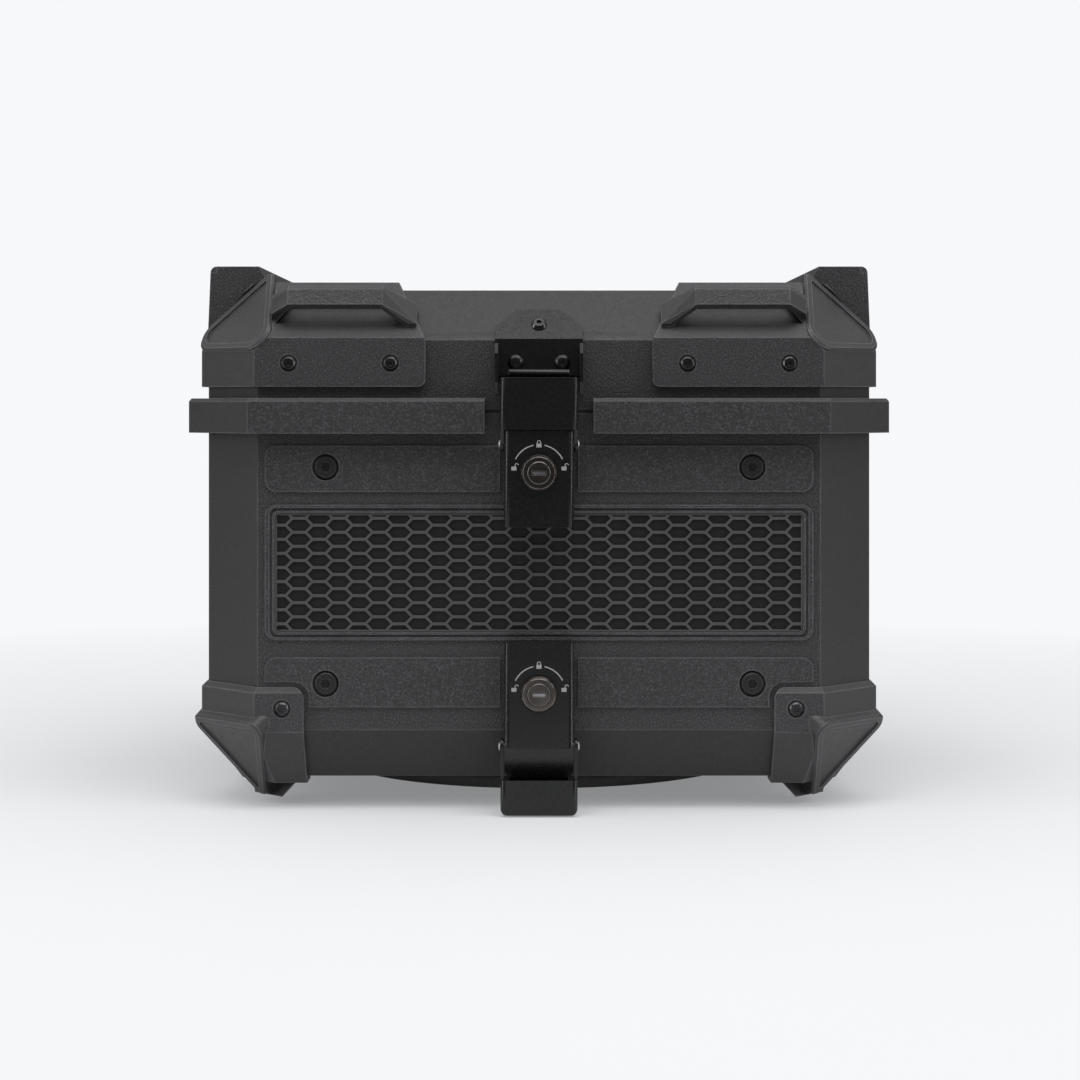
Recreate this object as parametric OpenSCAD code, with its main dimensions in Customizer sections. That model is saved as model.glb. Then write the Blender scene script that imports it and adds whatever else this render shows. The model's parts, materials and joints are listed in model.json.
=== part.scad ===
// Top case for a motorcycle: a chamfered tub and hinged lid with corner handles,
// two draw latches with turning locks, and the plate that the case clips on to.
// Millimetres, +Z up, -Y is the face with the latches.
// The origin is the centre of the plate's underside, where it meets the rack.

/* [Case] */
// Width of the tub across its side walls
case_w = 406; // [390:2:430]
// Depth of the tub from front wall to rear wall
case_d = 346; // [334:2:370]
// Size of the 45 degree cut at each upright corner
corner_cut = 34; // [32:1:36]
// Height of the tub's straight wall, from the lower bend to the rim
tub_wall_h = 190; // [188:1:200]
// Thickness of the moulded walls
wall = 3.5; // [3:0.5:4]
/* [Lid] */
// Height of the lid's straight wall above the seam
lid_wall_h = 42; // [41:1:46]
// Height of the sloping edge around the lid's top
bevel_h = 31; // [30:1:33]
// How far the lid's sloping edge leans in
bevel_run = 26; // [24:1:27]
// How far the rim band stands out from the wall
skirt_out = 11.5; // [11:0.5:12]
/* [Latches] */
// Width of each latch lever
lever_w = 41; // [39:1:42]
// Radius of the turning lock plug
plug_r = 7; // [6:0.5:7]
/* [Plate] */
// Radius of the mounting plate
plate_r = 135; // [126:1:138]
// Distance between the rack slots along X
slot_dx = 96; // [80:2:96]
// Distance between the rack slots along Y
slot_dy = 70; // [60:2:76]

/* [Hidden] */
$fn = 48;

// half sizes and the planes of the four walls
half_w = case_w / 2;
half_d = case_d / 2;
front_y = -half_d;
rear_y = half_d;
// how much a corner cut grows for each millimetre that the outline grows
cut_growth = 2 - sqrt(2);
// heights, from the rack face up
tub_z0 = 18;
tub_bend_z = 49;
tub_bevel_run = 22;
floor_t = 4;
seam_z = tub_bend_z + tub_wall_h;
gasket_t = 2;
lid_z0 = seam_z + gasket_t + 0.3;
lid_bend_z = seam_z + gasket_t + lid_wall_h;
lid_top_z = lid_bend_z + bevel_h;
skirt_z0 = seam_z - 12;
skirt_z1 = seam_z + 9;
skirt_t = 3.2;
// the gap in the rim band that the upper latch passes through
latch_gap = 65;
// corner covers stand this far out of the walls
cover_out = 4;
cover_gap = 0.2;
// screws
screw_r = 2.5;
screw_head_r = 4.7;
screw_head_h = 2.2;
// draw latches: distances out of the front wall, and heights
sheet_t = 2;
bend_r = 3;
lever_out = 22;
lever_half = lever_w / 2;
arm_gap = 0.4;
ear_half = lever_half - sheet_t - 1;
pin_r = 2;
run_gap = 0.05;
up_pivot_out = 11;
up_pivot_z = seam_z - 8;
up_rivet_z = up_pivot_z - 10;
up_lever_z0 = up_pivot_z - 59.4;
up_lock_z = up_pivot_z - 27;
low_pivot_out = 6.5;
low_pivot_z = 31;
low_rivet_out = 13;
low_rivet_z = 41.4;
low_lever_z1 = 103.2;
low_lock_z = 73.2;
bezel_r = plug_r + 3.9;
// rear hinges
hinge_x = 110;
hinge_y = rear_y + skirt_out + 4.5;
hinge_z = skirt_z0 + 3;
knuckle_r = 4;
hinge_half = 25;
hinge_tongue = 8.6;
// honeycomb relief
cell_dx = 12;
cell_dz = 8.45;
honey_h = 71;
honey_z = 143.5;
honey_front_w = 2 * (half_w - 44.6);
honey_side_w = 2 * (half_d - 60);
honey_base = 0.8;
honey_rib = 1;
pocket_d = 1.2;
// raised bands on the walls
band_t = 1.4;
band_r = 7;
low_band_z = [62.8, 92.5];
up_band_z = [seam_z - 47, seam_z - 19.4];
bolt_x = half_w - 75;
bolt_r = 8;
bolt_sink = 1.5;
// mounting plate
boss_r = 80;
plate_z1 = 7.6;
plate_z2 = 11.6;
plate_top = 15.5;
slot_r = 3.3;
slot_len = 20;
hook_x = 50;
tilt_y = 135;
lip_y = 131.2;

// ---------- shared shapes ----------

// the case's outline seen from above, grown outwards by t
function outline(t) =
    let (w = half_w + t, d = half_d + t, c = corner_cut + t * cut_growth)
    [[-w + c, -d], [w - c, -d], [w, -d + c], [w, d - c],
     [w - c, d], [-w + c, d], [-w, d - c], [-w, -d + c]];

// an upright slice of the case between two heights
module slice(t, z0, z1) {
    translate([0, 0, z0])
        linear_extrude(z1 - z0)
            polygon(outline(t));
}

// a sloping slice, grown by t0 at z0 and by t1 at z1
module slope(t0, z0, t1, z1) {
    low = [for (p = outline(t0)) [p.x, p.y, z0]];
    high = [for (p = outline(t1)) [p.x, p.y, z1]];
    sides = [for (i = [0:7]) [i, i + 8, (i + 1) % 8 + 8, (i + 1) % 8]];
    polyhedron(concat(low, high),
        concat([[for (i = [0:7]) i]], [[for (i = [15:-1:8]) i]], sides));
}

// puts children on a wall: x along it, y up, z outwards
module on_wall(turn) {
    out = (turn == 0 || turn == 180) ? half_d : half_w;
    rotate([0, 0, turn])
        translate([0, -out, 0])
            rotate([90, 0, 0])
                children();
}

// a flat rectangle between two corners with round corners of radius r
module round_rect(x0, y0, x1, y1, r) {
    translate([x0 + r, y0])
        square([x1 - x0 - 2 * r, y1 - y0]);
    translate([x0, y0 + r])
        square([x1 - x0, y1 - y0 - 2 * r]);
    for (x = [x0 + r, x1 - r], y = [y0 + r, y1 - r])
        translate([x, y])
            circle(r);
}

// a side profile drawn as [out from the front wall, height], w wide and centred on x
module profile(points, x, w) {
    translate([x - w / 2, 0, 0])
        rotate([90, 0, 90])
            linear_extrude(w)
                polygon([for (p = points) [front_y - p.x, p.y]]);
}

// a rod along X through a point given as out from the front wall and height
module rod(out, z, r, x0, x1) {
    translate([x0, front_y - out, z])
        rotate([0, 90, 0])
            cylinder(r = r, h = x1 - x0);
}

// copies for both signs of X
module both_sides() {
    children();
    mirror([1, 0, 0])
        children();
}

// copies at all four upright corners
module four_corners() {
    both_sides() {
        children();
        mirror([0, 1, 0])
            children();
    }
}

// moves a front left piece to another corner
module to_corner(right, rear) {
    mirror([right, 0, 0])
        mirror([0, rear, 0])
            children();
}

// button head screw standing on the plane z = 0, its shank going down
module screw(length) {
    difference() {
        union() {
            cylinder(r = screw_head_r, h = 0.6);
            translate([0, 0, 0.6])
                cylinder(r1 = screw_head_r, r2 = screw_head_r - 1.6, h = screw_head_h - 0.6);
        }
        translate([0, 0, 0.8])
            cylinder(r = 1.7, h = screw_head_h, $fn = 6);
    }
    translate([0, 0, -length])
        cylinder(r = screw_r, h = length);
}

// ---------- mounting plate ----------

module slots() {
    for (x = [-slot_dx / 2, slot_dx / 2], y = [-slot_dy / 2, slot_dy / 2])
        translate([x, y, -1]) {
            for (s = [-1, 1])
                translate([s * (slot_len / 2 - slot_r), 0, 0])
                    cylinder(r = slot_r, h = 8);
            translate([-(slot_len / 2 - slot_r), -slot_r, 0])
                cube([slot_len - 2 * slot_r, 2 * slot_r, 8]);
        }
}

// two upright tabs whose noses reach over the lips in the tub's floor
module plate_hooks() {
    for (x = [-hook_x, hook_x]) {
        translate([x - 12, 125.5, plate_z2 - 1])
            cube([24, 4, 25 - plate_z2]);
        translate([x - 12, 129, 21.6])
            cube([24, 3, 2.4]);
    }
}

module mount_plate() {
    rim_in = plate_r - 4;
    boss_in = boss_r - 4;
    color("#2b2c2e")
        difference() {
            union() {
                rotate_extrude($fn = 96)
                    polygon([[0, 0], [boss_r, 0], [boss_r, plate_z1], [plate_r, plate_z1],
                        [plate_r, plate_top], [rim_in, plate_top], [rim_in, plate_z2],
                        [boss_in, plate_z2], [boss_in, 4], [0, 4]]);
                for (a = [0:30:330])
                    rotate([0, 0, a])
                        translate([boss_in - 1, -1.5, plate_z2 - 1])
                            cube([rim_in - boss_in + 2, 3, plate_top - plate_z2 - 0.5]);
                plate_hooks();
            }
            slots();
            translate([-18, -plate_r - 1, plate_z2])
                cube([36, 34, 6]);
            for (x = [-9, 9])
                translate([x, -119, 0])
                    cylinder(r = 2.1, h = 14);
        }
}

module plate_pads() {
    color("#18191a")
        for (x = [-70, 70], y = [-70, 70])
            translate([x, y, plate_z2])
                difference() {
                    cylinder(r = 11, h = tub_z0 - 0.3 - plate_z2);
                    translate([0, 0, tub_z0 - 1.8 - plate_z2])
                        cylinder(r = 6, h = 3);
                }
}

// steel tongue that the lower hasp closes over
module plate_keeper() {
    color("#1d1e20")
        difference() {
            union() {
                translate([-17, front_y - 14.5, plate_z2 + 0.1])
                    cube([34, half_d + 14.5 - 110, 2.5]);
                translate([-17, front_y - 14.5, 6])
                    cube([34, 2.5, plate_z2 - 3]);
            }
            for (x = [-9, 9])
                translate([x, -119, 0])
                    cylinder(r = 2.1, h = 20);
        }
}

module plate_keeper_screws() {
    color("#8d9094")
        for (x = [-9, 9])
            translate([x, -119, plate_z2 + 2.6]) {
                difference() {
                    cylinder(r = 4, h = 1.6);
                    translate([0, 0, 0.6])
                        cylinder(r = 1.6, h = 2, $fn = 6);
                }
                translate([0, 0, -6.4])
                    cylinder(r = 2, h = 6.4);
            }
}

// ---------- tub ----------

// raised bands and frame on one wall: w is the honeycomb's width, upper asks for the
// top bands, split leaves room for the latches and guard_x is where the foot guard starts
module wall_relief(w, upper, split, guard_x) {
    x1 = w / 2 + 6;
    inner = split ? 23.5 : 0;
    rows = upper ? [low_band_z, up_band_z] : [low_band_z];
    for (row = rows, s = [0, 1])
        translate([0, 0, -1])
            linear_extrude(band_t + 1)
                mirror([s, 0])
                    difference() {
                        union() {
                            round_rect(inner + 10, row[0], x1, row[1], band_r);
                            translate([inner, row[0]])
                                square([20, row[1] - row[0]]);
                        }
                        round_rect(guard_x, 20, x1 + 60, 77.8, 9);
                    }
    translate([0, 0, -1])
        linear_extrude(band_t + 1)
            difference() {
                round_rect(-x1, honey_z - honey_h / 2 - 5, x1, honey_z + honey_h / 2 + 5, band_r);
                honey_outline(w, 3.3);
            }
    translate([0, 0, -1])
        linear_extrude(band_t + 1)
            difference() {
                honey_outline(w, 1.6);
                honey_outline(w, 0.2);
            }
}

module honey_outline(w, grow) {
    round_rect(-w / 2 - grow, honey_z - honey_h / 2 - grow,
        w / 2 + grow, honey_z + honey_h / 2 + grow, 4);
}

// boss inside the floor that houses one hook of the plate
module hook_boss(x) {
    translate([x - 20, 112, tub_z0 + floor_t - 1])
        cube([40, 26, 9]);
}

module hook_pocket(x) {
    translate([x - 15, 117, tub_z0 - 1])
        cube([30, lip_y - 117, 9.5]);
    translate([x - 15, 117, tub_z0 + 2])
        cube([30, 134 - 117, 6.5]);
}

module foot_screw_holes() {
    four_corners()
        for (p = foot_screws)
            place_screw(p, 0)
                translate([0, 0, -12])
                    cylinder(r = screw_r + run_gap, h = 24);
}

// wall, distance from the corner and height of each foot guard's screws
foot_screws = [[0, 49, 62], [1, 47, 62]];
// the same for each lid handle
handle_screws_at = [[0, 53, lid_bend_z - 14], [0, 114, lid_bend_z - 14], [1, 58, lid_bend_z - 14]];

// puts children on the front left corner's front (0) or side (1) wall
module place_screw(p, out) {
    if (p[0] == 0)
        translate([-half_w + p[1], front_y - out, p[2]])
            rotate([90, 0, 0])
                children();
    else
        translate([-half_w - out, front_y + p[1], p[2]])
            rotate([0, -90, 0])
                children();
}

module tub() {
    color("#303133")
        difference() {
            union() {
                difference() {
                    union() {
                        slice(0, tub_bend_z, seam_z);
                        slope(-tub_bevel_run, tub_z0, 0, tub_bend_z);
                    }
                    slice(-wall, tub_bend_z, seam_z + 1);
                    slope(-tub_bevel_run - 1, tub_z0 + floor_t, -wall, tub_bend_z);
                }
                on_wall(0)
                    wall_relief(honey_front_w, true, true, half_w - 65);
                on_wall(180)
                    wall_relief(honey_front_w, false, false, half_w - 65);
                on_wall(90)
                    wall_relief(honey_side_w, true, false, half_d - 59);
                on_wall(-90)
                    wall_relief(honey_side_w, true, false, half_d - 59);
                hook_boss(hook_x);
                hook_boss(-hook_x);
            }
            for (turn = [0, 180])
                on_wall(turn)
                    translate([0, 0, -pocket_d])
                        linear_extrude(10)
                            honey_outline(honey_front_w, 0.2);
            for (turn = [90, -90])
                on_wall(turn)
                    translate([0, 0, -pocket_d])
                        linear_extrude(10)
                            honey_outline(honey_side_w, 0.2);
            hook_pocket(hook_x);
            hook_pocket(-hook_x);
            foot_screw_holes();
            bolt_seats();
            latch_rivet_holes();
            hinge_screw_holes_tub();
        }
}

module bolt_seats() {
    for (x = [-bolt_x, bolt_x], z = [76.8, seam_z - 32.3])
        on_wall(0)
            translate([x, z, 0]) {
                translate([0, 0, -bolt_sink])
                    cylinder(r = bolt_r, h = 5);
                translate([0, 0, -10])
                    cylinder(r = 3.05, h = 12);
            }
}

module wall_bolts() {
    color("#26272a")
        for (x = [-bolt_x, bolt_x], z = [76.8, seam_z - 32.3])
            on_wall(0)
                translate([x, z, 0.05 - bolt_sink]) {
                    difference() {
                        union() {
                            cylinder(r = bolt_r - 1.1, h = 2);
                            translate([0, 0, 2])
                                cylinder(r1 = bolt_r - 1.1, r2 = bolt_r - 2.1, h = 0.7);
                        }
                        translate([0, 0, 1])
                            cylinder(r = 3.1, h = 3, $fn = 6);
                    }
                    translate([0, 0, -wall])
                        cylinder(r = 3, h = wall);
                }
}

module tub_gasket() {
    color("#141415")
        difference() {
            slice(-0.3, seam_z, seam_z + gasket_t);
            slice(-wall + 0.3, seam_z - 1, seam_z + gasket_t + 1);
        }
}

module floor_mat() {
    color("#3a3b3c")
        difference() {
            slice(-tub_bevel_run - 6, tub_z0 + floor_t, tub_z0 + floor_t + 3);
            for (x = [-hook_x, hook_x])
                translate([x - 22, 110, tub_z0])
                    cube([44, 60, 20]);
        }
}

// ---------- honeycomb inserts ----------

module cell() {
    polygon([[-6.9, 0], [-3.7, -3.3], [3.7, -3.3], [6.9, 0], [3.7, 3.3], [-3.7, 3.3]]);
}

module honeycomb(w) {
    columns = ceil(w / 2 / cell_dx) + 1;
    rows = ceil(honey_h / 2 / cell_dz) + 1;
    color("#242527")
        translate([0, 0, -pocket_d]) {
            linear_extrude(honey_base)
                honey_outline(w, 0);
            translate([0, 0, honey_base])
                linear_extrude(honey_rib)
                    difference() {
                        honey_outline(w, 0);
                        intersection() {
                            translate([-w / 2 + 1.2, honey_z - honey_h / 2 + 1.2])
                                square([w - 2.4, honey_h - 2.4]);
                            for (i = [-columns:columns], j = [-rows:rows])
                                translate([i * cell_dx, honey_z - 1.2 + (j + (i % 2 == 0 ? 0.5 : 0)) * cell_dz])
                                    cell();
                        }
                    }
        }
}

module honeycomb_front() {
    on_wall(0)
        honeycomb(honey_front_w);
}

module honeycomb_rear() {
    on_wall(180)
        honeycomb(honey_front_w);
}

module honeycomb_left() {
    on_wall(-90)
        honeycomb(honey_side_w);
}

module honeycomb_right() {
    on_wall(90)
        honeycomb(honey_side_w);
}

// ---------- corner pieces ----------

// matrix that lays a drawing on a triangle: origin a, x towards b, z outwards
function cross_unit(u, v) =
    let (n = cross(u, v))
    n / norm(n);
function facet_frame(a, b, c) =
    let (x = (b - a) / norm(b - a), z = cross_unit(x, c - a), y = cross(z, x))
    [[x.x, y.x, z.x, a.x], [x.y, y.y, z.y, a.y], [x.z, y.z, z.z, a.z], [0, 0, 0, 1]];
// corners of a triangle drawn in its own frame, pulled in by t
function flat_triangle(a, b, c) =
    let (x = (b - a) / norm(b - a), z = cross_unit(x, c - a), y = cross(z, x))
    [[0, 0], [norm(b - a), 0], [(c - a) * x, (c - a) * y]];
// centre and radius of the circle that fits inside a triangle
function inner_circle(p) =
    let (a = norm(p[1] - p[2]), b = norm(p[2] - p[0]), c = norm(p[0] - p[1]),
        area = abs(cross(p[1] - p[0], p[2] - p[0])) / 2)
    [(p[0] * a + p[1] * b + p[2] * c) / (a + b + c), 2 * area / (a + b + c)];

// triangle moved inwards by t (outwards if negative), its corners rounded to radii r
module round_triangle(points, r, t) {
    middle = inner_circle(points);
    hull()
        for (i = [0:2])
            translate(points[i] + (middle[0] - points[i]) * ((r[i] + t) / middle[1]))
                circle(r[i], $fn = 32);
}

// triangular pad with a sunk face; radii r, deep enough to meet the cover, its foot
// smaller than its face by undercut all round
module bumper(a, b, c, r, depth, undercut) {
    flat = flat_triangle(a, b, c);
    inner = [for (v = r) max(v - 4, 0.8)];
    multmatrix(facet_frame(a, b, c))
        difference() {
            hull() {
                translate([0, 0, -0.5])
                    linear_extrude(0.5)
                        round_triangle(flat, r, 0.9);
                translate([0, 0, -1.9])
                    linear_extrude(0.5)
                        round_triangle(flat, r, 0);
                translate([0, 0, -depth])
                    linear_extrude(0.5)
                        round_triangle(flat, r, undercut);
            }
            translate([0, 0, -1.2])
                linear_extrude(4)
                    round_triangle(flat, inner, 4.6);
        }
}

// room cut into the cover all round a pad, so that the pad stands clear of it
module bumper_moat(a, b, c) {
    multmatrix(facet_frame(a, b, c))
        translate([0, 0, -2.6])
            linear_extrude(24)
                offset(delta = 3)
                    polygon(flat_triangle(a, b, c));
}

// foot guard -----------------------------------------------------------

// outside of the foot guards, before they are trimmed to the corners
module foot_layer() {
    slant = cover_out / cos(atan(tub_bevel_run / (tub_bend_z - tub_z0)));
    slice(cover_out, tub_bend_z - 1, 71.6);
    slope(cover_out, 71.6, cover_out - 3.2, 74.8);
    slope(-tub_bevel_run * 35 / 31 + slant, tub_z0 - 4, cover_out, tub_bend_z - 1);
}

module foot_bumper() {
    bumper(
        [-half_w + 36.8, front_y - 14.8, 53.6],
        [-half_w - 14.8, front_y + 36.8, 53.6],
        [-half_w + 34.5, front_y + 34.5, 1],
        [6.6, 6.6, 3.5], 15, -0.7);
}

// block under the case that the foot of the pad runs into
module foot_block() {
    translate([-half_w, front_y, 0])
        hull() {
            translate([0, 0, 4.2])
                linear_extrude(0.5)
                    polygon([[46, 27], [46, 46], [27, 46]]);
            translate([0, 0, 14])
                linear_extrude(1)
                    polygon([[55, 24], [55, 38], [38, 55], [24, 55]]);
        }
}

// all that lies past a foot guard's edge, seen square on; its upper corner is round
module beyond_guard(edge) {
    difference() {
        translate([edge - 7, -1])
            square([600, 100]);
        round_rect(edge - 60, -20, edge, 74.8, 7);
    }
}

module foot_guard() {
    color("#333436")
        difference() {
            union() {
                difference() {
                    foot_layer();
                    slice(cover_gap, tub_bend_z - 0.1, 80);
                    slope(-tub_bevel_run + cover_gap, tub_z0 - 0.2, cover_gap, tub_bend_z);
                    translate([0, 300, 0])
                        rotate([90, 0, 0])
                            linear_extrude(600)
                                beyond_guard(-half_w + 62);
                    translate([-300, 0, 0])
                        rotate([90, 0, 90])
                            linear_extrude(600)
                                beyond_guard(front_y + 56);
                    translate([-half_w + 45, front_y + 40, -1])
                        cube([40, 40, 100]);
                }
                foot_block();
                difference() {
                    foot_bumper();
                    slice(cover_gap, tub_bend_z - 0.1, 80);
                    slope(-tub_bevel_run + cover_gap, tub_z0 - 0.2, cover_gap, tub_bend_z);
                }
            }
            for (p = foot_screws)
                place_screw(p, 0)
                    translate([0, 0, -12])
                        cylinder(r = screw_r + run_gap, h = 30);
            for (p = foot_screws)
                place_screw(p, cover_out - 0.8)
                    cylinder(r = screw_head_r + 0.8, h = 8);
        }
}

module foot_guard_front_left() {
    to_corner(0, 0)
        foot_guard();
}

module foot_guard_front_right() {
    to_corner(1, 0)
        foot_guard();
}

module foot_guard_rear_left() {
    to_corner(0, 1)
        foot_guard();
}

module foot_guard_rear_right() {
    to_corner(1, 1)
        foot_guard();
}

module foot_guard_screws() {
    color("#55585c")
        four_corners()
            for (p = foot_screws)
                place_screw(p, cover_out - 0.8)
                    screw(7);
}

// lid handle -----------------------------------------------------------

// outside of the corner handles, before they are trimmed to the corners
module handle_layer() {
    top = lid_top_z + 4.8;
    bend = lid_bend_z + 1.4;
    slice(cover_out, lid_bend_z - 28, bend);
    slope(cover_out, bend, cover_out - (top - bend) * bevel_run / bevel_h, top);
}

// what the lid itself fills, plus a small gap
module lid_envelope() {
    slice(cover_gap, lid_z0 - 20, lid_bend_z + 0.1);
    slope(cover_gap, lid_bend_z, -bevel_run + cover_gap, lid_top_z + 0.2);
}

// how far the cover reaches along the front, seen from the front
module front_leg() {
    z0 = lid_bend_z - 28;
    polygon([[-30, z0 - 9], [131, z0 - 9], [131, z0], [133, z0 + 0.6], [134.4, z0 + 2], [135, z0 + 4],
        [135, lid_bend_z], [116, lid_top_z + 8], [-30, lid_top_z + 8]]);
}

// how far it reaches along the side: a low leg, and a short upper part
module side_leg() {
    polygon([[-30, lid_bend_z - 40], [86, lid_bend_z - 40], [86, lid_bend_z - 1],
        [48, lid_bend_z - 1], [45, lid_top_z + 8], [-30, lid_top_z + 8]]);
}

// finger opening below the bar
module handle_opening(x0, x1) {
    polygon([[x0, lid_bend_z + 10], [x1, lid_bend_z + 10],
        [x1 - 16, lid_bend_z + 24], [x0 + 10, lid_bend_z + 24]]);
}

module handle_cover() {
    difference() {
        intersection() {
            handle_layer();
            union() {
                translate([-half_w, front_y + 46, 0])
                    rotate([90, 0, 0])
                        linear_extrude(76)
                            front_leg();
                translate([-half_w - 30, front_y, 0])
                    rotate([90, 0, 90])
                        linear_extrude(90)
                            side_leg();
            }
        }
        lid_envelope();
        slice(-bevel_run - 2, lid_top_z - 1, lid_top_z + 10);
        translate([-half_w, front_y + 30, 0])
            rotate([90, 0, 0])
                linear_extrude(60)
                    handle_opening(44, 126);
    }
}

// bar over the finger opening, with a leg down to the cover at each end
module handle_bar() {
    x0 = -half_w + 52.6;
    x1 = -half_w + 109.4;
    z0 = lid_bend_z + 22;
    section = [[6.4, z0 - 0.8], [3.4, z0 + 8.4], [0, z0 + 10.6], [-2.6, z0 + 9.6], [-2.6, z0 - 2], [0.5, z0 - 3.4]];
    profile(section, (x0 + x1) / 2, x1 - x0);
    hull() {
        profile(section, x1 - 0.5, 1);
        profile([[1, lid_bend_z + 10], [-12, lid_bend_z + 22], [-14, lid_bend_z + 18], [-3, lid_bend_z + 7]],
            -half_w + 127, 5);
    }
    hull() {
        profile(section, x0 + 0.5, 1);
        profile([for (p = section) [p.x - 8.5, p.y - 5.4]], -half_w + 43, 2);
    }
}

// corners of the pad on a lid corner, and their radii
lid_pad = [[-half_w - 17.3, front_y + 42.5, lid_bend_z - 5],
    [-half_w + 42.5, front_y - 17.3, lid_bend_z - 5],
    [-half_w + 38.8, front_y + 38.8, lid_bend_z + 44.5]];
lid_pad_r = [12, 12, 2.5];

module handle() {
    color("#343537")
        difference() {
            union() {
                difference() {
                    handle_cover();
                    bumper_moat(lid_pad[0], lid_pad[1], lid_pad[2]);
                }
                difference() {
                    union() {
                        handle_bar();
                        bumper(lid_pad[0], lid_pad[1], lid_pad[2], lid_pad_r, 15, 4.2);
                    }
                    lid_envelope();
                }
            }
            for (p = handle_screws_at)
                place_screw(p, 0)
                    translate([0, 0, -12])
                        cylinder(r = screw_r + run_gap, h = 24);
            for (p = handle_screws_at)
                place_screw(p, cover_out - 0.8)
                    cylinder(r = screw_head_r + 0.6, h = 8);
        }
}

module handle_front_left() {
    to_corner(0, 0)
        handle();
}

module handle_front_right() {
    to_corner(1, 0)
        handle();
}

module handle_rear_left() {
    to_corner(0, 1)
        handle();
}

module handle_rear_right() {
    to_corner(1, 1)
        handle();
}

module handle_screws() {
    color("#8d9094")
        four_corners()
            for (p = handle_screws_at)
                place_screw(p, cover_out - 0.8)
                    screw(7);
}

// grab rail along one side of the lid, between the corner handles
module grab_rail() {
    top = lid_top_z + 16;
    reach = half_d - 50;
    leg = 26;
    color("#37383a")
        difference() {
            translate([-half_w, reach, 0])
                rotate([90, 0, 0])
                    linear_extrude(2 * reach)
                        union() {
                            polygon([[-3, lid_bend_z - 0.6], [-1.2, top - 4], [2.8, top - 4], [2.8, top],
                                [29, top], [38, lid_top_z + 0.3], [38, lid_bend_z - 0.6]]);
                            translate([2.8, top - 4])
                                circle(4);
                        }
            lid_envelope();
            translate([-half_w - 10, leg - reach, lid_bend_z - 10])
                cube([60, 2 * (reach - leg), bevel_h + 13]);
        }
}

module grab_rail_left() {
    grab_rail();
}

module grab_rail_right() {
    mirror([1, 0, 0])
        grab_rail();
}

// ---------- lid ----------

module lid_shell() {
    color("#303133")
        difference() {
            union() {
                slice(0, lid_z0, lid_bend_z);
                slope(0, lid_bend_z, -bevel_run, lid_top_z);
                difference() {
                    union() {
                        slice(skirt_out, skirt_z0, skirt_z1 - 1.8);
                        slope(skirt_out, skirt_z1 - 1.8, skirt_out - 1.6, skirt_z1);
                    }
                    slice(skirt_out - skirt_t, skirt_z0 - 1, skirt_z1 - 3.2);
                    translate([-latch_gap / 2, front_y - 30, skirt_z0 - 1])
                        cube([latch_gap, 30, 30]);
                }
                top_ribs();
            }
            slice(-wall, lid_z0 - 20, lid_bend_z - 1);
            slope(-wall, lid_bend_z - 1, -bevel_run - 2.6, lid_top_z - wall);
            four_corners()
                for (p = handle_screws_at)
                    place_screw(p, 0)
                        translate([0, 0, -12])
                            cylinder(r = screw_r + run_gap, h = 20);
            keeper_screw_places()
                translate([0, 0, -12])
                    cylinder(r = screw_r + run_gap, h = 20);
            hinge_screw_holes_lid();
        }
}

// low ribs that stop a bag sliding on the lid's top
module top_ribs() {
    half_l = half_w - 70;
    for (y = [-76:38:76])
        translate([0, 0, lid_top_z - 1])
            linear_extrude(2.6)
                round_rect(-half_l, y - 4, half_l, y + 4, 3.9);
}

// ---------- rear hinges ----------

// a side profile drawn as [out from the rear wall, height]
module rear_profile(points, x0, x1) {
    translate([x0, 0, 0])
        rotate([90, 0, 90])
            linear_extrude(x1 - x0)
                polygon([for (p = points) [rear_y + p.x, p.y]]);
}

module hinge_barrel(r, x0, x1) {
    translate([x0, hinge_y, hinge_z])
        rotate([0, 90, 0])
            cylinder(r = r, h = x1 - x0);
}

module at_hinges() {
    for (x = [-hinge_x, hinge_x])
        translate([x, 0, 0])
            children();
}

module hinge_screw_places_tub() {
    at_hinges()
        for (x = [-14, 14])
            translate([x, rear_y + 2.3, skirt_z0 - 26])
                rotate([-90, 0, 0])
                    children();
}

module hinge_screw_holes_tub() {
    hinge_screw_places_tub()
        translate([0, 0, -12])
            cylinder(r = screw_r + run_gap, h = 20);
}

module hinge_leaves_tub() {
    out = hinge_y - rear_y;
    shelf_z = hinge_z - 10;
    color("#1f2022")
        difference() {
            at_hinges() {
                rear_profile([[0.2, skirt_z0 - 37], [2.2, skirt_z0 - 37], [2.2, shelf_z],
                    [out + 1.5, shelf_z], [out + 1.5, shelf_z + 2.5], [0.2, shelf_z + 2.5]],
                    -hinge_half, hinge_half);
                for (s = [-1, 1])
                    translate([s * (hinge_half + hinge_tongue + 0.4) / 2, 0, 0])
                        union() {
                            w = (hinge_half - hinge_tongue - 0.4) / 2;
                            rear_profile([[out - 1.5, shelf_z + 1], [out + 1.5, shelf_z + 1],
                                [out + 1.5, hinge_z], [out - 1.5, hinge_z]], -w, w);
                            hinge_barrel(knuckle_r, -w, w);
                        }
            }
            at_hinges()
                hinge_barrel(2.5, -40, 40);
            hinge_screw_holes_tub();
        }
}

module hinge_pins() {
    color("#9a9da1")
        at_hinges() {
            hinge_barrel(2.5, -hinge_half - 0.2, hinge_half + 0.2);
            for (s = [-1, 1])
                translate([s * (hinge_half + 0.8), 0, 0])
                    hinge_barrel(3.4, -0.6, 0.6);
        }
}

module hinge_screws_tub() {
    color("#55585c")
        hinge_screw_places_tub()
            screw(6);
}

module hinge_screw_places_lid() {
    at_hinges()
        for (x = [-17, 17])
            translate([x, rear_y + skirt_out + 2.3, hinge_z + 11])
                rotate([-90, 0, 0])
                    children();
}

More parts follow.
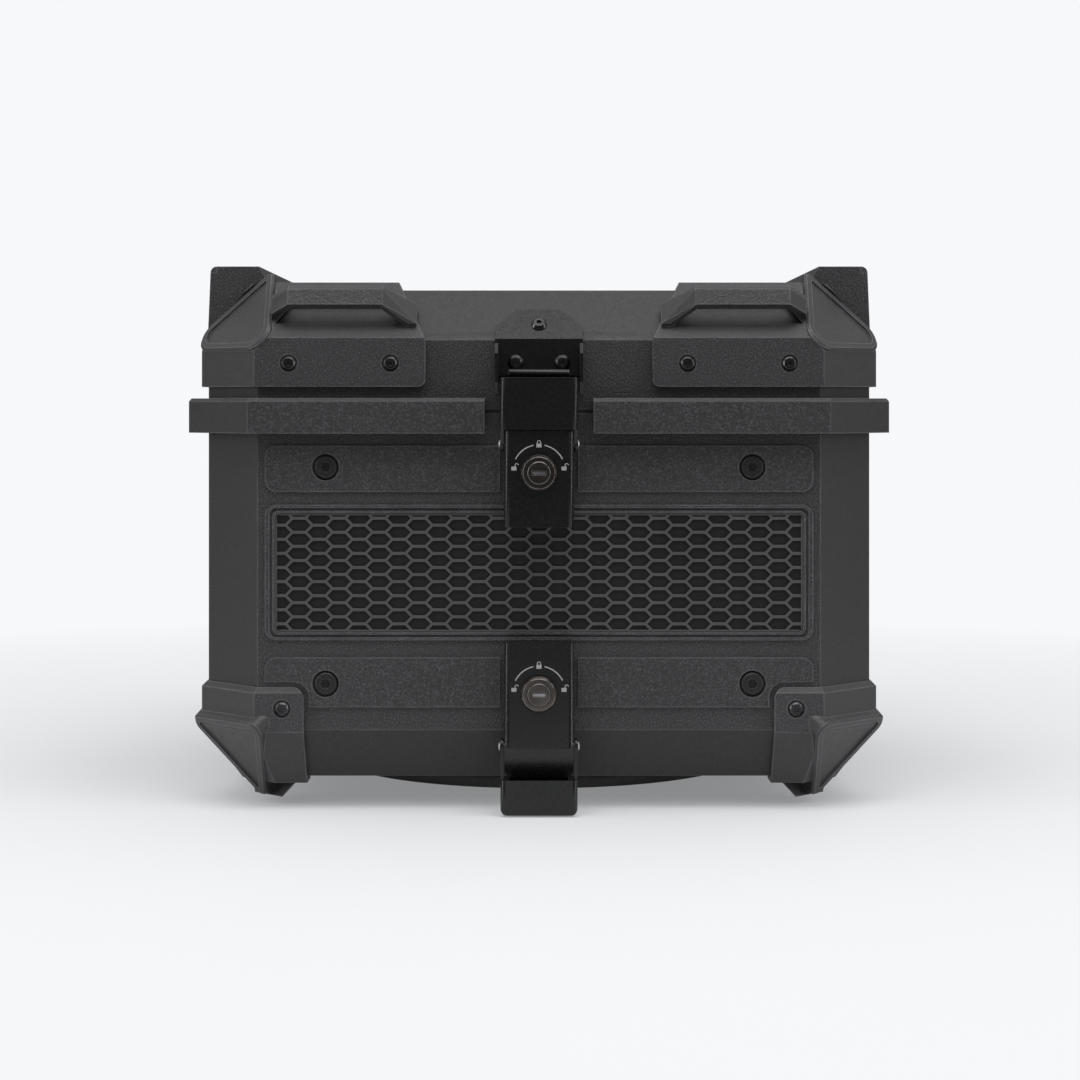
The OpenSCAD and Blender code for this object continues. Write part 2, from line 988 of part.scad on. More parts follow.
module hinge_screw_holes_lid() {
    hinge_screw_places_lid()
        translate([0, 0, -8])
            cylinder(r = screw_r + run_gap, h = 16);
}

module hinge_leaves_lid() {
    out = skirt_out + 0.2;
    color("#1f2022")
        difference() {
            at_hinges() {
                rear_profile([[out, hinge_z + 6], [out + 2, hinge_z + 6],
                    [out + 2, skirt_z1 - 2], [out, skirt_z1 - 2]], -hinge_half, hinge_half);
                rear_profile([[out, hinge_z], [out + 2, hinge_z],
                    [out + 2, hinge_z + 7], [out, hinge_z + 7]], -hinge_tongue, hinge_tongue);
                hinge_barrel(knuckle_r, -hinge_tongue, hinge_tongue);
            }
            at_hinges()
                hinge_barrel(2.5 + run_gap, -40, 40);
            hinge_screw_holes_lid();
        }
}

module hinge_screws_lid() {
    color("#55585c")
        hinge_screw_places_lid()
            screw(5);
}

// ---------- lid keeper ----------

// puts children on the lid's front slope: y up the slope, z outwards
module on_slope() {
    translate([0, front_y, lid_bend_z])
        rotate([90 - atan(bevel_run / bevel_h), 0, 0])
            children();
}

module keeper_screw_places() {
    for (x = [-14, 14])
        on_wall(0)
            translate([x, lid_bend_z - 13.5, 2.3])
                children();
    on_slope()
        translate([0, 10.6, 2.3])
            children();
}

// the keeper's bent sheet from the side, s mm up the slope and t mm off it
function slope_point(s, t) =
    let (lean = atan(bevel_run / bevel_h))
    [t * cos(lean) - s * sin(lean), lid_bend_z + t * sin(lean) + s * cos(lean)];
function bend_point(t) = [t, lid_bend_z + t * tan(atan(bevel_run / bevel_h) / 2)];

module lid_keeper() {
    half = 26.4;
    lip_z = lid_bend_z - 21.4;
    near = 0.2;
    far = near + sheet_t;
    color("#1b1c1e")
        difference() {
            union() {
                profile([[near, lip_z], [far, lip_z], bend_point(far), slope_point(22.8, far),
                    slope_point(22.8, near), bend_point(near)], 0, 2 * half);
                for (s = [-1, 1])
                    profile([[near, lid_bend_z - 2], [6, lid_bend_z - 2], [13, lid_bend_z - 8],
                        [13, lip_z - 4], [8, lip_z - 11], [near, lip_z - 11]], s * (half - 1), sheet_t);
                profile([[far - 0.5, lip_z], [17, lip_z], [17, lip_z + 2], [far - 0.5, lip_z + 2]], 0, 37);
                rod(17, lip_z + 1.5, 2.2, -18, 18);
            }
            both_sides()
                on_slope()
                    translate([0, 0, -3])
                        linear_extrude(10)
                            polygon([[half + 2, 6.8], [half + 2, 26], [9.7, 26]]);
            keeper_screw_places()
                translate([0, 0, -12])
                    cylinder(r = screw_r + run_gap, h = 20);
        }
}

module lid_keeper_screws() {
    color("#8d9094")
        keeper_screw_places()
            screw(6);
}

// ---------- latches ----------

// a round-ended plate seen from the side, w thick and centred on x
module cheek(points, out, z, r, x, w) {
    translate([x - w / 2, 0, 0])
        rotate([90, 0, 90])
            linear_extrude(w)
                union() {
                    polygon([for (p = points) [front_y - p.x, p.y]]);
                    translate([front_y - out, z])
                        circle(r);
                }
}

// the same plate on both sides of the latch, its outer face at half
module cheeks(points, out, z, r, half) {
    for (s = [-1, 1])
        cheek(points, out, z, r, s * (half - sheet_t / 2), sheet_t);
}

// outline of a sheet bent back on both sides, seen from above
module bend_outline(half, face, back, r) {
    translate([-half, front_y - face + r])
        square([2 * half, face - back - r]);
    translate([-half + r, front_y - face])
        square([2 * half - 2 * r, r + 1]);
    for (s = [-1, 1])
        translate([s * (half - r), front_y - face + r])
            circle(r);
}

// the bent sheet itself between two heights; out distances of its face and of its edges
module channel(half, face, back, z0, z1) {
    translate([0, 0, z0])
        linear_extrude(z1 - z0)
            difference() {
                bend_outline(half, face, back, bend_r);
                bend_outline(half - sheet_t, face - sheet_t, back - 1, bend_r - sheet_t);
            }
}

// rounds a piece's lower corners as seen from the front, when it is taken away
module lower_corners(half, z, r) {
    both_sides()
        translate([half - r, front_y, z + r])
            rotate([90, 0, 0])
                linear_extrude(60)
                    difference() {
                        translate([0, -r - 1])
                            square([r + 1, r + 1]);
                        circle(r);
                    }
}

module latch_rivet_places() {
    for (x = [-9, 9], z = [up_pivot_z - 40, up_pivot_z - 14, low_pivot_z + 30, low_pivot_z + 62])
        on_wall(0)
            translate([x, z, 2.15])
                children();
}

module latch_rivet_holes() {
    latch_rivet_places()
        translate([0, 0, -10])
            cylinder(r = 1.65, h = 14);
}

module latch_base_rivets() {
    color("#8d9094")
        latch_rivet_places() {
            cylinder(r1 = 3, r2 = 2.2, h = 1.1);
            translate([0, 0, -6.5])
                cylinder(r = 1.6, h = 6.5);
        }
}

module upper_latch_base() {
    z = up_pivot_z;
    color("#1b1c1e")
        difference() {
            union() {
                profile([[0.1, z - 46], [2.1, z - 46], [2.1, z + 5], [0.1, z + 5]], 0, 2 * ear_half);
                cheeks([[0.5, z + 5], [0.5, z - 17], [up_pivot_out + 4, z - 3], [up_pivot_out, z + 5]],
                    up_pivot_out, z, 5, ear_half);
            }
            rod(up_pivot_out, z, pin_r, -30, 30);
            latch_rivet_holes();
        }
}

module lower_latch_base() {
    z = low_pivot_z;
    color("#1b1c1e")
        difference() {
            union() {
                profile([[0.1, z + 21], [2.1, z + 21], [2.1, z + 69], [0.1, z + 69]], 0, 2 * ear_half);
                cheeks([[1, z + 45], [7, z + 30], [low_pivot_out + 4, z], [low_pivot_out - 4, z], [1, z + 21]],
                    low_pivot_out, z, 4, ear_half);
            }
            rod(low_pivot_out, z, pin_r, -30, 30);
            latch_rivet_holes();
        }
}

module upper_latch_pin() {
    color("#9a9da1")
        rod(up_pivot_out, up_pivot_z, pin_r, -lever_half, lever_half);
}

module lower_latch_pin() {
    color("#9a9da1")
        rod(low_pivot_out, low_pivot_z, pin_r, -lever_half, lever_half);
}

// hole for the lock through a lever's face
module lock_hole(z) {
    on_wall(0)
        translate([0, z, 0])
            cylinder(r = plug_r + 2, h = 60);
}

module upper_lever() {
    z = up_pivot_z;
    z0 = up_lever_z0;
    color("#202124")
        difference() {
            union() {
                channel(lever_half, lever_out, 6, z0, z - 2);
                translate([0, 0, z0])
                    linear_extrude(sheet_t)
                        bend_outline(lever_half, lever_out, 6, bend_r);
                cheeks([[lever_out - bend_r, z - 3], [up_pivot_out + 3, z + 5], [up_pivot_out - 5, z],
                    [6, z - 8], [lever_out - bend_r, z - 8]], up_pivot_out, z, 5.4, lever_half);
            }
            rod(up_pivot_out, z, pin_r + run_gap, -30, 30);
            rod(up_pivot_out, up_rivet_z, pin_r, -30, 30);
            lock_hole(up_lock_z);
        }
}

module lower_lever() {
    z = low_pivot_z;
    z1 = low_lever_z1;
    back = lever_out - sheet_t;
    color("#202124")
        difference() {
            union() {
                channel(lever_half, lever_out, 6, z + 9.5, z1);
                translate([0, 0, z1 - sheet_t])
                    linear_extrude(sheet_t)
                        bend_outline(lever_half, lever_out, 6, bend_r);
                profile([[lever_out, z + 10.2], [9, z - 9.1], [6.6, z - 9.1], [back - 1.2, z + 10.2]], 0, lever_w);
                cheeks([[6.6, z + 30], [2.5, z], [5, z - 7], [9, z - 9.1], [lever_out, z + 10.2],
                    [lever_out - bend_r, z + 12]], low_pivot_out, z, 4.4, lever_half);
            }
            rod(low_pivot_out, z, pin_r + run_gap, -30, 30);
            rod(low_rivet_out, low_rivet_z, pin_r, -30, 30);
            lock_hole(low_lock_z);
            lower_corners(lever_half, z - 9.1, 5);
        }
}

// two rivets that carry the hasp's arms on the lever's cheeks
module arm_rivets(out, z) {
    arm = lever_half + arm_gap + sheet_t;
    color("#9a9da1")
        both_sides() {
            rod(out, z, pin_r, lever_half - sheet_t - 0.6, arm + 0.3);
            rod(out, z, 3.1, lever_half - sheet_t - 0.6, lever_half - sheet_t);
            translate([arm + 0.3, front_y - out, z])
                rotate([0, 90, 0])
                    cylinder(r1 = 3.2, r2 = 2.2, h = 1.1);
        }
}

module upper_lever_rivets() {
    arm_rivets(up_pivot_out, up_rivet_z);
}

module lower_lever_rivets() {
    arm_rivets(low_rivet_out, low_rivet_z);
}

module upper_hasp() {
    z = up_pivot_z;
    half = lever_half + arm_gap + sheet_t;
    face = lever_out + 0.4 + sheet_t;
    color("#1b1c1e")
        difference() {
            union() {
                channel(half, face, 9, z - 1.5, z + 29.4);
                cheeks([[face - bend_r, z - 1.5], [face - bend_r, z + 4], [9, z + 4],
                    [6.2, z - 10], [up_pivot_out + 5, z - 10]], up_pivot_out, up_rivet_z, 4.6, half);
            }
            rod(up_pivot_out, up_rivet_z, pin_r + run_gap, -40, 40);
        }
}

module lower_hasp() {
    half = lever_half + arm_gap + sheet_t;
    face = 18.4;
    z0 = 0.7;
    z1 = 21.4;
    color("#1b1c1e")
        difference() {
            union() {
                channel(half, face, 9, z0, z1);
                cheeks([[low_rivet_out + 4.6, low_rivet_z], [face - bend_r + 0.6, z1 - 1], [face - bend_r, z1 - 6],
                    [9, z1 - 6], [low_rivet_out - 4.6, low_rivet_z]], low_rivet_out, low_rivet_z, 4.6, half);
            }
            rod(low_rivet_out, low_rivet_z, pin_r + run_gap, -40, 40);
            lower_corners(half, z0, 4);
        }
}

// ---------- locks ----------

module lock_bezel(z) {
    color("#17181a")
        on_wall(0)
            translate([0, z, 0])
                difference() {
                    union() {
                        translate([0, 0, 12])
                            cylinder(r = plug_r + 1.95, h = lever_out - 12);
                        translate([0, 0, lever_out])
                            cylinder(r = bezel_r, h = 2.4);
                        translate([0, 0, lever_out + 2.4])
                            cylinder(r1 = bezel_r, r2 = bezel_r - 1.6, h = 2.1);
                    }
                    translate([0, 0, 11])
                        cylinder(r = plug_r + run_gap, h = 20);
                }
}

module lock_plug(z) {
    color("#2a2a2c")
        on_wall(0)
            translate([0, z, 0])
                difference() {
                    union() {
                        translate([0, 0, 10])
                            cylinder(r = plug_r, h = lever_out - 5);
                        translate([0, 0, lever_out + 5])
                            cylinder(r1 = plug_r, r2 = plug_r - 0.6, h = 0.6);
                    }
                    translate([-4.2, -1.2, lever_out + 2.5])
                        cube([8.4, 2.4, 5]);
                }
}

module lock_cam(z) {
    color("#9a9da1")
        on_wall(0)
            translate([0, z, 7.9])
                linear_extrude(2)
                    union() {
                        circle(5);
                        translate([-4, 0])
                            square([8, 9]);
                        translate([0, 9])
                            circle(4);
                    }
}

module upper_lock_bezel() {
    lock_bezel(up_lock_z);
}

module upper_lock_plug() {
    lock_plug(up_lock_z);
}

module upper_lock_cam() {
    lock_cam(up_lock_z);
}

module lower_lock_bezel() {
    lock_bezel(low_lock_z);
}

module lower_lock_plug() {
    lock_plug(low_lock_z);
}

module lower_lock_cam() {
    lock_cam(low_lock_z);
}

mount_plate();
plate_pads();
plate_keeper();
plate_keeper_screws();
tub();
tub_gasket();
floor_mat();
wall_bolts();
honeycomb_front();
honeycomb_rear();
honeycomb_left();
honeycomb_right();
foot_guard_front_left();
foot_guard_front_right();
foot_guard_rear_left();
foot_guard_rear_right();
foot_guard_screws();
hinge_leaves_tub();
hinge_pins();
hinge_screws_tub();
upper_latch_base();
upper_latch_pin();
lower_latch_base();
lower_latch_pin();
latch_base_rivets();
lid_shell();
handle_front_left();
handle_front_right();
handle_rear_left();
handle_rear_right();
handle_screws();
grab_rail_left();
grab_rail_right();
lid_keeper();
lid_keeper_screws();
hinge_leaves_lid();
hinge_screws_lid();
upper_lever();
upper_lock_bezel();
upper_lever_rivets();
upper_hasp();
upper_lock_plug();
upper_lock_cam();
lower_lever();
lower_lock_bezel();
lower_lever_rivets();
lower_hasp();
lower_lock_plug();
lower_lock_cam();
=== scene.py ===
import bpy
import bmesh
import json
import math
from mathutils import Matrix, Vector


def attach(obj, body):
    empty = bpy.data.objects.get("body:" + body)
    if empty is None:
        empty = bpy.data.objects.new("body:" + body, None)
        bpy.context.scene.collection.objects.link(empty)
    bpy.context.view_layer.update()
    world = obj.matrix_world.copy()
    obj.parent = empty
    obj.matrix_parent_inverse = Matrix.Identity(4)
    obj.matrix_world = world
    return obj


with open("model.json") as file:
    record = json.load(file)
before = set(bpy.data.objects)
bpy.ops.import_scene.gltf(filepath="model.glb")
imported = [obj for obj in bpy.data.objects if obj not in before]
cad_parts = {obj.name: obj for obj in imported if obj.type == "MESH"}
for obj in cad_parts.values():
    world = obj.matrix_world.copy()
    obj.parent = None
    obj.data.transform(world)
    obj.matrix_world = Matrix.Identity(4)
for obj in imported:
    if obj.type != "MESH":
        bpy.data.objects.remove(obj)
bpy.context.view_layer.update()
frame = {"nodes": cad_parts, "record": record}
nodes = frame["nodes"]
record = frame["record"]
MM = 0.001

# ---------- places on the part ----------

# the tub's wall planes, in metres: the side walls at +-SIDE_X, the front one at FRONT_Y
SIDE_X = 0.203
FRONT_Y = -0.173
LATCHES = ("upper", "lower")
joint_places = {j["child"]: j["pos_m"] for j in record["behaviour"]["joints"]}


def lock_height(latch):
    """Height in millimetres of the axis that a latch's lock plug turns on."""
    return joint_places[latch + "_plug"][2] / MM


def front_of(node):
    """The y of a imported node's foremost point, in metres."""
    return min(vertex.co.y for vertex in nodes[node].data.vertices)


# ---------- camera ----------

# in metres: how far in front of the tub's wall, how high, and how far right of the middle
CAMERA_DISTANCE = 1.41
CAMERA_HEIGHT = 0.247
CAMERA_RIGHT = 0.0006
camera_data = bpy.data.cameras.new("camera")
camera_data.sensor_width = 36
camera_data.lens = 78.3
camera_data.shift_y = -0.1296
camera_data.clip_end = 50
camera = bpy.data.objects.new("camera", camera_data)
camera.location = (CAMERA_RIGHT, FRONT_Y - CAMERA_DISTANCE, CAMERA_HEIGHT)
camera.rotation_euler = (math.radians(90), 0, 0)
scene = bpy.context.scene
scene.collection.objects.link(camera)
scene.camera = camera
scene.view_settings.view_transform = "Standard"
scene.view_settings.look = "None"

# ---------- node helpers ----------


class Nodes:
    """A new material and short ways to add nodes to it.

    Scales of noise and cells are per metre, and distances are in metres.
    """

    def __init__(self, name):
        self.material = bpy.data.materials.new(name)
        self.material.use_nodes = True
        self.tree = self.material.node_tree
        self.tree.nodes.clear()
        self.shader = self.add("ShaderNodeBsdfPrincipled")
        output = self.add("ShaderNodeOutputMaterial")
        self.link(self.shader.outputs[0], output.inputs["Surface"])
        self.place = self.add("ShaderNodeTexCoord").outputs["Object"]

    def add(self, kind, **settings):
        node = self.tree.nodes.new(kind)
        for key, value in settings.items():
            setattr(node, key, value)
        return node

    def link(self, a, b):
        self.tree.links.new(a, b)

    def put(self, socket, value):
        """Sets a socket to a number or colour, or links another node's output to it."""
        if isinstance(value, (int, float, tuple)):
            socket.default_value = value
        else:
            self.link(value, socket)

    def noise(self, scale, detail=4, rough=0.5, stretch=None):
        node = self.add("ShaderNodeTexNoise")
        node.inputs["Scale"].default_value = scale
        node.inputs["Detail"].default_value = detail
        node.inputs["Roughness"].default_value = rough
        self.link(self.stretched(stretch), node.inputs["Vector"])
        return node.outputs["Fac"]

    def cells(self, scale, feature="F1"):
        node = self.add("ShaderNodeTexVoronoi", feature=feature)
        node.inputs["Scale"].default_value = scale
        self.link(self.place, node.inputs["Vector"])
        return node.outputs["Distance"]

    def stretched(self, stretch):
        if stretch is None:
            return self.place
        node = self.add("ShaderNodeMapping")
        node.inputs["Scale"].default_value = stretch
        self.link(self.place, node.inputs["Vector"])
        return node.outputs["Vector"]

    def math(self, operation, a, b=0.0):
        node = self.add("ShaderNodeMath", operation=operation)
        self.put(node.inputs[0], a)
        self.put(node.inputs[1], b)
        return node.outputs[0]

    def spread(self, value, from_low, from_high, to_low, to_high):
        """Maps a value from one range to another and clamps it there."""
        node = self.add("ShaderNodeMapRange")
        sockets = node.inputs
        self.put(sockets["Value"], value)
        sockets["From Min"].default_value = from_low
        sockets["From Max"].default_value = from_high
        self.put(sockets["To Min"], to_low)
        self.put(sockets["To Max"], to_high)
        return node.outputs["Result"]

    def mix(self, factor, a, b):
        node = self.add("ShaderNodeMix", data_type="RGBA")
        self.put(node.inputs["Factor"], factor)
        self.put(node.inputs["A"], a)
        self.put(node.inputs["B"], b)
        return node.outputs["Result"]

    def bump(self, height, distance, strength=1.0, before=None):
        node = self.add("ShaderNodeBump")
        self.put(node.inputs["Strength"], strength)
        node.inputs["Distance"].default_value = distance
        self.link(height, node.inputs["Height"])
        if before is not None:
            self.link(before, node.inputs["Normal"])
        return node.outputs["Normal"]

    def edges(self, radius, low, high):
        """1 along edges, within a radius, and 0 elsewhere."""
        bevel = self.add("ShaderNodeBevel", samples=4)
        bevel.inputs["Radius"].default_value = radius
        geometry = self.add("ShaderNodeNewGeometry")
        dot = self.add("ShaderNodeVectorMath", operation="DOT_PRODUCT")
        self.link(bevel.outputs["Normal"], dot.inputs[0])
        self.link(geometry.outputs["Normal"], dot.inputs[1])
        return self.spread(dot.outputs["Value"], low, high, 1.0, 0.0)

    def facing(self, low, high):
        """1 on faces square to an axis, 0 on chamfers and slopes."""
        geometry = self.add("ShaderNodeNewGeometry")
        split = self.add("ShaderNodeSeparateXYZ")
        self.link(geometry.outputs["True Normal"], split.inputs[0])
        x = self.math("ABSOLUTE", split.outputs["X"])
        y = self.math("ABSOLUTE", split.outputs["Y"])
        z = self.math("ABSOLUTE", split.outputs["Z"])
        largest = self.math("MAXIMUM", self.math("MAXIMUM", x, y), z)
        return self.spread(largest, low, high, 0.0, 1.0)

    def colour(self, value):
        self.put(self.shader.inputs["Base Color"], value)

    def rough(self, value):
        self.put(self.shader.inputs["Roughness"], value)

    def normal(self, value):
        self.link(value, self.shader.inputs["Normal"])

    def fixed(self, socket, value):
        self.shader.inputs[socket].default_value = value


def grey(level, warm=0.0):
    """A grey, bluish where warm is below 0."""
    return (level * (1 + warm), level, level * (1 - warm), 1)


CHARCOAL_TINT = (1.015, 0.975, 1.03)


def charcoal(level):
    """The grey of the black plastics, with a trace of violet."""
    return tuple(level * part for part in CHARCOAL_TINT) + (1,)


def moulded_plastic(name, level, roughness, grain, smooth_level):
    """Grained plastic: specks and pebbles on square faces, smoother chamfers, and edges painted
    paler, partly as rub wear and partly as a painted highlight.

    level and smooth_level are the greys of square faces and of chamfers, grain is the
    pebbles' height.
    """
    m = Nodes(name)
    flat = m.facing(0.9, 0.985)
    pebble = m.cells(850, "SMOOTH_F1")
    fine = m.noise(1900, 4, 0.7)
    cloud = m.noise(9, 3, 0.5)
    speck = m.noise(1000, 5, 0.8)
    base = m.mix(cloud, charcoal(level * 0.88), charcoal(level * 1.12))
    base = m.mix(flat, charcoal(smooth_level), base)
    on_flats = m.spread(flat, 0, 1, 0.2, 0.9)
    peaks = m.math("MULTIPLY", m.spread(speck, 0.5, 0.66, 0.0, 1.0), on_flats)
    base = m.mix(peaks, base, charcoal(level * 3.9))
    uneven = m.spread(m.noise(60, 4), 0.35, 0.7, 0.4, 0.9)
    # edges painted paler: partly rub wear, partly a painted highlight line
    edge_wear_and_highlight = m.math("MULTIPLY", m.edges(0.0012, 0.93, 0.995), uneven)
    m.colour(m.mix(edge_wear_and_highlight, base, charcoal(level * 5)))
    m.rough(m.spread(m.noise(240, 4), 0.3, 0.7, roughness - 0.05, roughness + 0.07))
    pebbled = m.bump(pebble, grain, m.spread(flat, 0.0, 1.0, 0.25, 1.0))
    m.normal(m.bump(fine, grain * 0.5, 0.7, pebbled))
    m.fixed("IOR", 1.46)
    return m.material


def honeycomb_plastic(name, shaded_floor_level, lit_rib_level):
    """Cell floors darkened with painted shade and rib tops paled with a painted highlight, told apart
    by how far they stand out of the tub's walls.
    """
    m = Nodes(name)
    split = m.add("ShaderNodeSeparateXYZ")
    m.link(m.place, split.inputs[0])
    beyond_x = m.math("SUBTRACT", m.math("ABSOLUTE", split.outputs["X"]), SIDE_X)
    beyond_y = m.math("SUBTRACT", m.math("ABSOLUTE", split.outputs["Y"]), -FRONT_Y)
    proud = m.math("MAXIMUM", beyond_x, beyond_y)
    # mask of the rib tops, which get a painted highlight; the sunken cell floors get painted shade
    lit_rib_mask = m.spread(proud, -0.0003, 0.0005, 0.0, 1.0)
    cloud = m.noise(40, 3)
    # low is the painted shade of the cell floors, high the painted highlight of the rib tops
    low = m.mix(cloud, grey(shaded_floor_level * 0.8), grey(shaded_floor_level * 1.2))
    high = m.mix(cloud, grey(lit_rib_level * 0.85), grey(lit_rib_level * 1.15))
    m.colour(m.mix(lit_rib_mask, low, high))
    m.rough(m.spread(m.noise(300, 3), 0.3, 0.7, 0.45, 0.6))
    m.normal(m.bump(m.noise(1400, 4), 0.00005, 0.8))
    m.fixed("Specular IOR Level", 0.3)
    return m.material


def powder_coat(name, level, roughness):
    """Black textured powder coat on steel: tiny orange-peel bumps, and edges painted paler, partly as
    rub wear and partly as a painted highlight.
    """
    m = Nodes(name)
    peel = m.cells(1900, "SMOOTH_F1")
    cloud = m.noise(25, 3)
    base = m.mix(cloud, grey(level * 0.8, -0.02), grey(level * 1.25, -0.02))
    uneven = m.spread(m.noise(110, 4), 0.4, 0.7, 0.1, 0.7)
    # edges painted paler: partly rub wear, partly a painted highlight
    edge_wear_and_highlight = m.math("MULTIPLY", m.edges(0.0008, 0.9, 0.99), uneven)
    m.colour(m.mix(edge_wear_and_highlight, base, grey(level * 3.2)))
    m.rough(m.spread(m.noise(420, 4), 0.3, 0.7, roughness - 0.05, roughness + 0.08))
    m.normal(m.bump(peel, 0.00003, 0.7))
    m.fixed("IOR", 1.5)
    return m.material


def bare_metal(name, colour, roughness, brushed):
    """Metal with fine streaks along X and a little tarnish."""
    m = Nodes(name)
    streaks = m.noise(300, 3, 0.6, (0.08, 1.0, 1.0))
    blotch = m.noise(140, 4)
    dark = tuple(c * 0.7 for c in colour) + (1,)
    m.colour(m.mix(m.spread(blotch, 0.35, 0.7, 0.0, 1.0), colour + (1,), dark))
    m.rough(m.spread(streaks, 0.3, 0.7, roughness - 0.06, roughness + 0.1))
    m.normal(m.bump(streaks, brushed, 0.6))
    m.fixed("Metallic", 1.0)
    return m.material


def soft_rubber(name, level):
    """Matt black rubber."""
    m = Nodes(name)
    m.colour(m.mix(m.noise(70, 4), grey(level * 0.8), grey(level * 1.5)))
    m.rough(m.spread(m.noise(500, 3), 0.3, 0.7, 0.62, 0.8))
    m.normal(m.bump(m.noise(1500, 4), 0.00008, 0.7))
    return m.material


def felt(name, level):
    """Needled mat with short hairs that run both ways."""
    m = Nodes(name)
    hairs = m.noise(900, 6, 0.75, (1.0, 0.25, 1.0))
    cross = m.noise(900, 6, 0.75, (0.25, 1.0, 1.0))
    both = m.math("ADD", hairs, cross)
    m.colour(m.mix(m.spread(both, 0.7, 1.3, 0.0, 1.0), grey(level * 0.6), grey(level * 1.6)))
    m.rough(m.spread(both, 0.7, 1.3, 0.85, 1.0))
    m.normal(m.bump(both, 0.0003, 0.9))
    m.fixed("Sheen Weight", 0.3)
    return m.material


def print_ink(name, level):
    """Pale ink on the levers."""
    m = Nodes(name)
    m.colour(m.mix(m.noise(900, 3), grey(level * 0.85), grey(level)))
    m.rough(m.spread(m.noise(600, 3), 0.3, 0.7, 0.5, 0.65))
    m.normal(m.bump(m.noise(1500, 3), 0.00002, 0.5))
    return m.material


PAINT = {
    "case_shell": moulded_plastic("case_shell", 0.034, 0.43, 0.00032, 0.022),
    "corner_trim": moulded_plastic("corner_trim", 0.038, 0.4, 0.00026, 0.036),
    # honeycomb: painted shade in the cells, painted highlight on the ribs
    "honeycomb": honeycomb_plastic("honeycomb", 0.012, 0.085),
    "plate_plastic": moulded_plastic("plate_plastic", 0.011, 0.42, 0.00006, 0.011),
    "seal_rubber": soft_rubber("seal_rubber", 0.01),
    "mat_fabric": felt("mat_fabric", 0.04),
    "coated_steel": powder_coat("coated_steel", 0.0055, 0.26),
    "bright_steel": bare_metal("bright_steel", (0.5, 0.5, 0.51), 0.3, 0.00003),
    "dark_screw": bare_metal("dark_screw", (0.085, 0.085, 0.088), 0.24, 0.00002),
    "lock_chrome": bare_metal("lock_chrome", (0.16, 0.145, 0.135), 0.16, 0.00001),
}
INK = print_ink("print_ink", 0.42)

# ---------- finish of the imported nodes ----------

# width in millimetres of the bevel on each material slot's edges
EDGE = {
    "case_shell": 0.7,
    "corner_trim": 0.8,
    "plate_plastic": 0.4,
    "seal_rubber": 0.3,
    "mat_fabric": 0.5,
    "coated_steel": 0.45,
    "bright_steel": 0.2,
    "dark_screw": 0.25,
    "lock_chrome": 0.25,
}
# in degrees: a fold above SHARP_ANGLE is bevelled, one below FLAT_ANGLE is dissolved
SHARP_ANGLE = 26
FLAT_ANGLE = 0.6
WELD_DISTANCE = 0.00001


def soften(piece, width):
    """Rounds a piece's sharp edges with modifiers, which leave its mesh as it is."""
    weld = piece.modifiers.new("weld", "WELD")
    weld.merge_threshold = WELD_DISTANCE
    flat = piece.modifiers.new("flat", "DECIMATE")
    flat.decimate_type = "DISSOLVE"
    flat.angle_limit = math.radians(FLAT_ANGLE)
    bevel = piece.modifiers.new("bevel", "BEVEL")
    bevel.width = width * MM
    bevel.segments = 2
    bevel.limit_method = "ANGLE"
    bevel.angle_limit = math.radians(SHARP_ANGLE)
    bevel.harden_normals = True


slots = {s["node"]: s["material_slot"] for s in record["subparts"]}
for name, piece in nodes.items():
    slot = slots[name]
    piece.data.materials.clear()
    piece.data.materials.append(PAINT[slot])
    if slot != "honeycomb":
        soften(piece, EDGE[slot])

# ---------- printed marks round the locks ----------


def new_piece(name, bm, body, material):
    """Makes an object of the bmesh, gives it a material and lets it ride on a body."""
    mesh = bpy.data.meshes.new(name)
    bm.to_mesh(mesh)
    bm.free()
    piece = bpy.data.objects.new(name, mesh)
    scene.collection.objects.link(piece)
    mesh.materials.append(material)
    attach(piece, body)


# sizes of the marks, in millimetres
INK_GAP = 0.02
INK_THICKNESS = 0.06
ARC_RADIUS = 15.6
ARC_LINE = 0.7
PADLOCK_WIDTH = 3.0
HOOP_RADIUS = 0.95
HOOP_LINE = 0.5
HOOP_SWING = 1.6


def ink_strip(bm, points, width, face_y):
    """A strip of ink just in front of the plane y = face_y, along points (x, z)."""
    rings = []
    last = len(points) - 1
    for i, point in enumerate(points):
        before = Vector(points[max(i - 1, 0)])
        after = Vector(points[min(i + 1, last)])
        along = (after - before).normalized()
        side = Vector((-along.y, along.x)) * width / 2
        centre = Vector(point)
        corners = [centre + side, centre - side]
        ring = []
        for proud in (INK_GAP, INK_GAP + INK_THICKNESS):
            y = face_y - proud * MM
            ring += [bm.verts.new((c.x * MM, y, c.y * MM)) for c in corners]
        rings.append(ring)
    for a, b in zip(rings, rings[1:]):
        for i, j in ((0, 1), (1, 3), (3, 2), (2, 0)):
            bm.faces.new((a[i], a[j], b[j], b[i]))
    for ring in (rings[0], rings[-1]):
        bm.faces.new((ring[0], ring[1], ring[3], ring[2]))


def arc(cx, cz, radius, start, end, steps=16):
    """Points on a circle, angles in degrees clockwise from the top."""
    out = []
    for i in range(steps + 1):
        a = math.radians(start + (end - start) * i / steps)
        out.append((cx + radius * math.sin(a), cz + radius * math.cos(a)))
    return out


def padlock(bm, cx, cz, is_open, face_y):
    """A padlock: a body with a hoop above it, which is swung aside where it is open."""
    body_top = cz + 0.3
    ink_strip(bm, [(cx, cz - 2.0), (cx, body_top)], PADLOCK_WIDTH, face_y)
    swing = HOOP_SWING if is_open else 0.0
    hoop = arc(cx + swing, cz + 1.1, HOOP_RADIUS, -90, 90, 8)
    outline = [(hoop[0][0], body_top)] + hoop
    if not is_open:
        outline.append((hoop[-1][0], body_top))
    ink_strip(bm, outline, HOOP_LINE, face_y)


